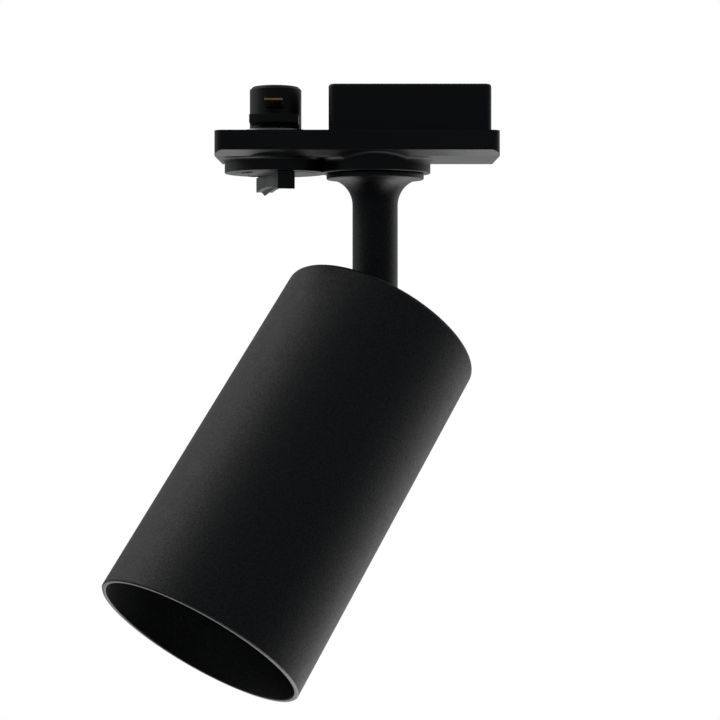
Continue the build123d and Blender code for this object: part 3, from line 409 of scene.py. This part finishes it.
MARK_RADIUS = 9.6 * MM  # from the lock's axis
MARK_HEIGHT = 0.22 * MM
MARK_FOOT = -0.05 * MM  # a little inside the disc
RING_INNER, RING_OUTER = 0.42 * MM, 0.75 * MM
RING_EASE = 0.03 * MM
RING_STEPS = 32
RING_WELD = 0.002 * MM  # how near two steps' corners are joined
HORSESHOE_GAP = 70  # degrees
BAR_NEAR, BAR_FAR, BAR_HALF = 1.15 * MM, 2.0 * MM, 0.16 * MM
ARROW_TIP, ARROW_BACK, ARROW_HALF = -1.15 * MM, -2.1 * MM, 0.6 * MM
DISC_FACE = -10.5 * MM  # the underside of the lock's disc
LOCKED_AT = 222  # degrees, beside the lever's pointer end
OPEN_AT = 132


def mark_place(angle):
    """On the underside of the lock's disc, at an angle about its axis, facing down."""
    turn = math.radians(angle)
    out = Vector((math.cos(turn), math.sin(turn), 0))
    origin = Vector((LOCK_PLACE.x, LOCK_PLACE.y, DISC_FACE)) + out * MARK_RADIUS
    return axes(origin, out.cross(-UP), out, -UP)


def closed_and_open_marks():
    """Plain raised marks, a ring where the lock is closed and a horseshoe where it is open."""
    bar = [(BAR_NEAR, -BAR_HALF), (BAR_FAR, -BAR_HALF), (BAR_FAR, BAR_HALF), (BAR_NEAR, BAR_HALF)]
    arrow = [(ARROW_BACK, -ARROW_HALF), (ARROW_TIP, 0.0), (ARROW_BACK, ARROW_HALF)]
    for name, angle, gap in (("lock_closed_mark", LOCKED_AT, 0), ("lock_open_mark", OPEN_AT, HORSESHOE_GAP)):
        shape = bmesh.new()
        start, end = gap / 2, 360 - gap / 2
        outer = arc_points(0, 0, RING_OUTER, start, end, RING_STEPS + 1)
        inner = arc_points(0, 0, RING_INNER, start, end, RING_STEPS + 1)
        for i in range(RING_STEPS):
            step = [outer[i], outer[i + 1], inner[i + 1], inner[i]]
            prism(shape, step, MARK_FOOT, MARK_HEIGHT, RING_EASE)
        bmesh.ops.remove_doubles(shape, verts=shape.verts, dist=RING_WELD)
        prism(shape, bar, MARK_FOOT, MARK_HEIGHT)
        prism(shape, arrow, MARK_FOOT, MARK_HEIGHT)
        solid(name, shape, "adapter_plastic", body="lock", place=mark_place(angle))


def circle_points(x, y, radius, count):
    """Points all round a circle, the last one step short of the first."""
    return arc_points(x, y, radius, 0, 360 - 360 / count, count)


def dome(shape, x, y, radius, height, rings=7, sides=28):
    """A shallow closed dome that stands on the plane."""
    top = shape.verts.new((x, y, height))
    rows = []
    for row in range(1, rings + 1):
        slope = math.pi / 2 * row / rings
        rows.append(
            [
                shape.verts.new((px, py, height * math.cos(slope)))
                for px, py in circle_points(x, y, radius * math.sin(slope), sides)
            ]
        )
    for i in range(sides):
        shape.faces.new((top, rows[0][i], rows[0][(i + 1) % sides]))
        for here, there in zip(rows, rows[1:]):
            shape.faces.new((here[i], there[i], there[(i + 1) % sides], here[(i + 1) % sides]))
    shape.faces.new(rows[-1])


def around(radius, count=6):
    """The middle, and places around it."""
    return [(0.0, 0.0)] + circle_points(0, 0, radius, count)


CHIP_FACE = -63.95 * MM  # from the head's top plane
CHIP_SPREAD = 5.0 * MM  # from the head's axis
CHIP_RADIUS, CHIP_HEIGHT = 1.15 * MM, 0.55 * MM
LENS_RECESS = -75.15 * MM
LENS_SPREAD = 14.0 * MM
LENS_RADIUS, LENS_HEIGHT = 5.3 * MM, 1.1 * MM


def facing_out(height):
    """A place on the head's axis that looks out of its mouth."""
    return HEAD @ Matrix.Translation((0, 0, height)) @ Matrix.Rotation(math.pi, 4, "X")


chips = bmesh.new()
for chip_x, chip_y in around(CHIP_SPREAD):
    dome(chips, chip_x, -chip_y, CHIP_RADIUS, CHIP_HEIGHT)
light_chips = solid("light_chips", chips, "lamp_board", "head", place=facing_out(CHIP_FACE))
light_chips.material_slots[0].material = phosphor()

lenslets = bmesh.new()
for lens_x, lens_y in around(LENS_SPREAD):
    dome(lenslets, lens_x, -lens_y, LENS_RADIUS, LENS_HEIGHT, rings=9, sides=48)
solid("lens_domes", lenslets, "lamp_optic", "head", place=facing_out(LENS_RECESS))

NIPPLE_TOP, NIPPLE_BOTTOM = 7.0 * MM, -20.4 * MM
THREAD_PITCH = 1.0 * MM
THREAD_DEPTH = 0.5 * MM
THREAD_CREST = 5.0 * MM  # radius
THREAD_LEAD_IN = 4.45 * MM  # radius at the nipple's two ends
THREAD_SIDES, PITCH_STEPS = 40, 8
NIPPLE_BORE = 3.5 * MM  # radius


def threaded_nipple():
    """The hollow nipple with a real thread cut along it."""
    shape = bmesh.new()
    rows = []
    length = NIPPLE_TOP - NIPPLE_BOTTOM
    count = int(length / THREAD_PITCH * PITCH_STEPS)
    for row in range(count + 1):
        z = NIPPLE_BOTTOM + length * row / count
        ends = min(z - NIPPLE_BOTTOM, NIPPLE_TOP - z)
        ring = []
        for i in range(THREAD_SIDES):
            turn = 2 * math.pi * i / THREAD_SIDES
            phase = (z / THREAD_PITCH - turn / (2 * math.pi)) % 1.0
            flank = abs(2 * phase - 1)
            radius = THREAD_CREST - THREAD_DEPTH * flank
            radius = min(radius, THREAD_LEAD_IN + max(ends, 0))
            ring.append((radius * math.cos(turn), radius * math.sin(turn), z))
        rows.append(ring)
    for z in (NIPPLE_TOP, NIPPLE_BOTTOM):
        rows.append([(x, y, z) for x, y in circle_points(0, 0, NIPPLE_BORE, THREAD_SIDES)])
    grid_tube(shape, rows)
    solid("nipple_with_thread", shape, "zinc_steel", "stem", node="threaded_nipple")


WASHER_LEVEL = -3.0 * MM  # the middle of its waves
WASHER_INNER, WASHER_OUTER = 5.25 * MM, 7.35 * MM
WASHER_HALF = 0.16 * MM  # half its thickness
WAVE_SWING, WAVES = 0.24 * MM, 3
WASHER_SIDES = 96


def waved_washer():
    """A thin spring washer bent in waves."""
    shape = bmesh.new()
    corners = ((WASHER_INNER, -1), (WASHER_OUTER, -1), (WASHER_OUTER, 1), (WASHER_INNER, 1))
    rings = []
    for radius, side in corners:
        ring = []
        for i in range(WASHER_SIDES):
            turn = 2 * math.pi * i / WASHER_SIDES
            z = WASHER_LEVEL + WAVE_SWING * math.sin(WAVES * turn) + side * WASHER_HALF
            ring.append((radius * math.cos(turn), radius * math.sin(turn), z))
        rings.append(ring)
    grid_tube(shape, rings)
    solid("spring_washer_waves", shape, "zinc_steel", "stem", node="wave_washer")


closed_and_open_marks()
threaded_nipple()
waved_washer()

# ---- stage, light and camera ----------------------------------------------------------------------

FLOOR_DROP = 1.0  # below the object
FLOOR_RADIUS = 3.5
NEAR_CLIP, FAR_CLIP = 0.01, 20
CAMERA_PLACE = Vector((-0.0041, -0.4761, -0.0460))
LENS_MM = 87.7
CAMERA_SHIFT = -0.0764


def pale_floor(material_name):
    """A smooth painted floor, near white."""
    g = Graph(material_name, Emission_Color=(1, 1, 1, 1), Emission_Strength=1.0)
    wash = g.noise(0.12, detail=3.0)
    g.link(g.mix(wash, grey(0.90), grey(0.86)), "Base Color")
    g.link(g.remap(wash, 0.3, 0.7, 0.7, 0.8), "Roughness")
    return g.material


def disc(name, centre, radius, sides=96):
    """A flat round sheet."""
    mesh = bpy.data.meshes.new(name)
    shape = bmesh.new()
    bmesh.ops.create_circle(shape, cap_ends=True, segments=sides, radius=radius)
    shape.transform(Matrix.Translation(centre))
    shape.to_mesh(mesh)
    shape.free()
    made = bpy.data.objects.new(name, mesh)
    bpy.context.scene.collection.objects.link(made)
    return made


floor = disc("studio_floor", Vector((0, 0, cad_low.z - FLOOR_DROP)), FLOOR_RADIUS)
floor.data.materials.append(pale_floor("studio_floor_finish"))
floor.visible_diffuse = False
floor.visible_glossy = False
floor.visible_shadow = False


AMBIENT = 0.06
COOL_SHADE = (0.86, 0.97, 1.12, 1)  # the colour of the dimmest light
UNTINTED_FROM = 0.4  # the strength from which the light is white
WHITE = (1, 1, 1, 1)
# Broad patches of the studio's light: direction, cosines where the patch starts and is full, strength.
LIGHT_PATCHES = [
    ((0.0, 0.0, 1.0), -0.35, 0.6, 0.13),  # the room's ceiling
    ((-0.55, 0.0, 0.8), 0.75, 0.97, 0.2),  # high on the left
    ((-0.82, 0.14, 0.55), 0.8, 0.97, 0.75),  # lower on the left
    ((0.0, 1.0, 0.0), 0.0, 0.7, 0.15),  # the backdrop
    ((0.8, 0.6, 0.0), 0.6, 0.95, 0.3),  # behind, on the right
    ((0.75, 0.65, -0.2), 0.85, 0.98, 0.3),  # a narrower one inside it
    ((-0.8, 0.6, 0.0), 0.6, 0.95, 0.08),  # behind, on the left
    ((-1.0, -0.1, 0.0), 0.6, 0.95, 0.04),  # level, on the left
    ((0.0, 0.1, -1.0), 0.7, 0.97, 3.6),  # the lit table below
    ((0.0, 0.6, -0.8), 0.7, 0.97, 1.1),  # the table's far part
]


def studio_world():
    """A surround lit in soft patches for the object, and plain white to the camera."""
    world = bpy.data.worlds.new("studio_world")
    world.use_nodes = True
    tree = world.node_tree
    tree.nodes.clear()

    def add(kind, **settings):
        node = tree.nodes.new(kind)
        for key, value in settings.items():
            setattr(node, key, value)
        return node

    coords = add("ShaderNodeTexCoord")
    total = add("ShaderNodeValue")
    total.outputs[0].default_value = AMBIENT
    light = total.outputs[0]
    for direction, start, full, strength in LIGHT_PATCHES:
        facing = add("ShaderNodeVectorMath", operation="DOT_PRODUCT")
        tree.links.new(coords.outputs["Generated"], facing.inputs[0])
        facing.inputs[1].default_value = Vector(direction).normalized()
        patch = add("ShaderNodeMapRange", interpolation_type="SMOOTHSTEP")
        tree.links.new(facing.outputs["Value"], patch.inputs["Value"])
        patch.inputs["From Min"].default_value = start
        patch.inputs["From Max"].default_value = full
        patch.inputs["To Max"].default_value = strength
        joined = add("ShaderNodeMath", operation="ADD")
        tree.links.new(light, joined.inputs[0])
        tree.links.new(patch.outputs["Result"], joined.inputs[1])
        light = joined.outputs[0]
    cool = add("ShaderNodeMapRange")
    tree.links.new(light, cool.inputs["Value"])
    cool.inputs["From Min"].default_value = AMBIENT
    cool.inputs["From Max"].default_value = UNTINTED_FROM
    tint = add("ShaderNodeMix", data_type="RGBA")
    tree.links.new(cool.outputs["Result"], tint.inputs[0])
    shade, lit = (socket for socket in tint.inputs if socket.enabled and socket.type == "RGBA")
    shade.default_value = COOL_SHADE
    lit.default_value = WHITE
    surround = add("ShaderNodeBackground")
    tree.links.new(next(socket for socket in tint.outputs if socket.enabled), surround.inputs["Color"])
    tree.links.new(light, surround.inputs["Strength"])
    seen = add("ShaderNodeBackground")
    seen.inputs["Color"].default_value = WHITE
    path = add("ShaderNodeLightPath")
    choose = add("ShaderNodeMixShader")
    tree.links.new(path.outputs["Is Camera Ray"], choose.inputs["Fac"])
    tree.links.new(surround.outputs["Background"], choose.inputs[1])
    tree.links.new(seen.outputs["Background"], choose.inputs[2])
    tree.links.new(choose.outputs["Shader"], add("ShaderNodeOutputWorld").inputs["Surface"])
    return world


scene = bpy.context.scene
scene.world = studio_world()
scene.view_settings.view_transform = "Standard"

camera_data = bpy.data.cameras.new("camera")
camera_data.lens = LENS_MM
camera_data.shift_y = CAMERA_SHIFT
camera_data.clip_start = NEAR_CLIP
camera_data.clip_end = FAR_CLIP
camera = bpy.data.objects.new("camera", camera_data)
camera.location = CAMERA_PLACE
camera.rotation_euler = (math.pi / 2, 0, 0)
scene.collection.objects.link(camera)
scene.camera = camera
